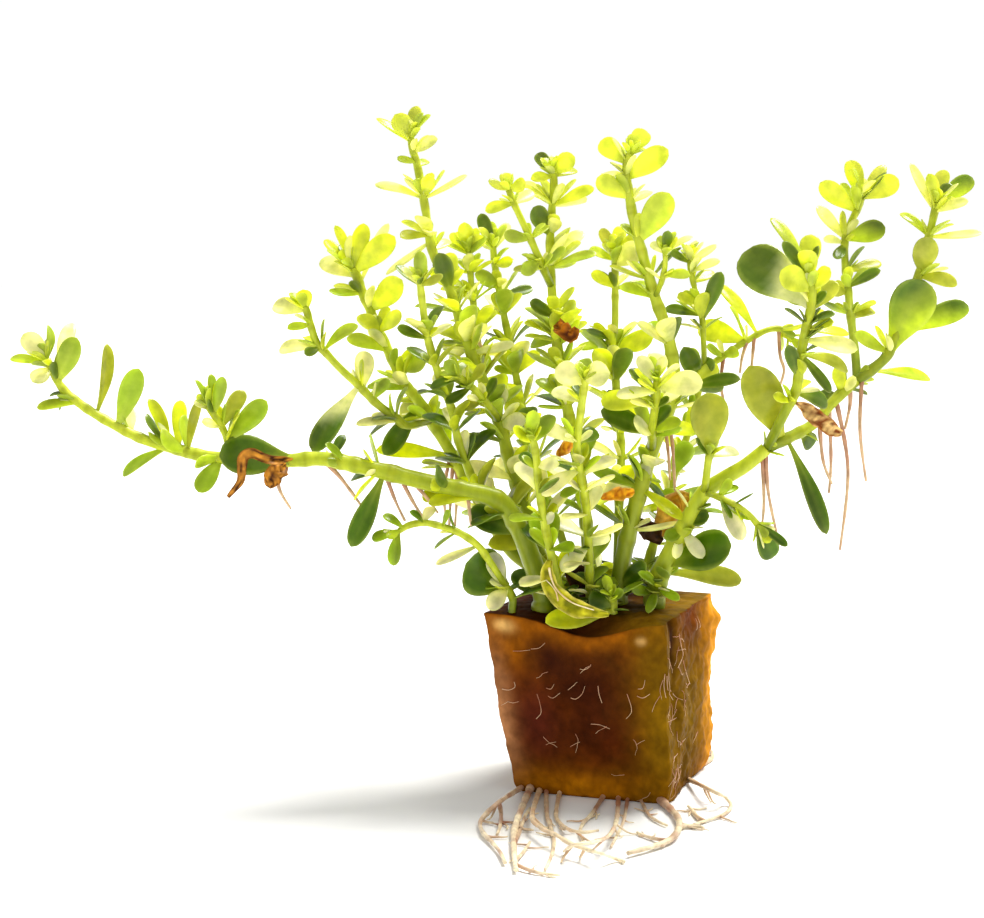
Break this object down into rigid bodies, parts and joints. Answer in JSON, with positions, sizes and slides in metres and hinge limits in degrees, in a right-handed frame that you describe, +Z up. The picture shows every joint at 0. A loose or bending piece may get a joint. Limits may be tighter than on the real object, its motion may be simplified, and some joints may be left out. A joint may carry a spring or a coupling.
{
  "type": "bacopa monnieri plug plant",
  "caption": "Bushy aquarium stem plant with small fleshy leaves in opposite pairs, growing from a square soaked plug with bare roots at its foot.",
  "frame": {"origin": "Centre of the plug's flat underside, on the surface it stands on", "axes": "+X to the plant's right and along the long trailing shoot's plane, +Y to its back, +Z up"},
  "size_m": [0.1925, 0.1212, 0.1387],
  "materials": {
    "leaf_and_stem": "satin",
    "wet_rockwool": "matte",
    "root": "satin",
    "dead_leaf": "matte"
  },
  "bodies": {
    "root": {"arching_side_shoot": "leaf_and_stem", "back_left_shoot": "leaf_and_stem", "back_right_shoot": "leaf_and_stem", "back_shoot": "leaf_and_stem", "big_leaf_arm": "leaf_and_stem", "crown_front_shoot": "leaf_and_stem", "dead_leaf_crown": "dead_leaf", "dead_leaf_dark": "dead_leaf", "dead_leaf_front": "dead_leaf", "dead_leaf_inner": "dead_leaf", "dead_leaf_left": "dead_leaf", "dead_leaf_low_left": "dead_leaf", "dead_leaf_middle": "dead_leaf", "dead_leaf_right": "dead_leaf", "dead_leaf_top": "dead_leaf", "far_right_shoot": "leaf_and_stem", "front_right_side_shoot": "leaf_and_stem", "front_shoot": "leaf_and_stem", "inner_left_shoot": "leaf_and_stem", "leaning_left_shoot": "leaf_and_stem", "low_front_shoot": "leaf_and_stem", "low_left_side_shoot": "leaf_and_stem", "low_right_side_shoot": "leaf_and_stem", "middle_shoot": "leaf_and_stem", "middle_side_shoot": "leaf_and_stem", "old_leaf_crown": "dead_leaf", "plug": "wet_rockwool", "right_branch": "leaf_and_stem", "right_end_branch": "leaf_and_stem", "right_front_shoot": "leaf_and_stem", "right_top_shoot": "leaf_and_stem", "root_back": "root", "root_back_left": "root", "root_back_right": "root", "root_bent": "root", "root_curved": "root", "root_far_left": "root", "root_hooked": "root", "root_left": "root", "root_long": "root", "root_loop": "root", "root_middle": "root", "root_right": "root", "root_short": "root", "root_thin": "root", "slim_left_shoot": "leaf_and_stem", "tall_left_shoot": "leaf_and_stem", "tall_left_side_shoot": "leaf_and_stem", "tall_middle_shoot": "leaf_and_stem", "thin_top_side_shoot": "leaf_and_stem", "trailing_shoot": "leaf_and_stem", "upper_left_side_shoot": "leaf_and_stem", "upper_right_side_shoot": "leaf_and_stem", "upright_left_shoot": "leaf_and_stem"}
  },
  "joints": []
}
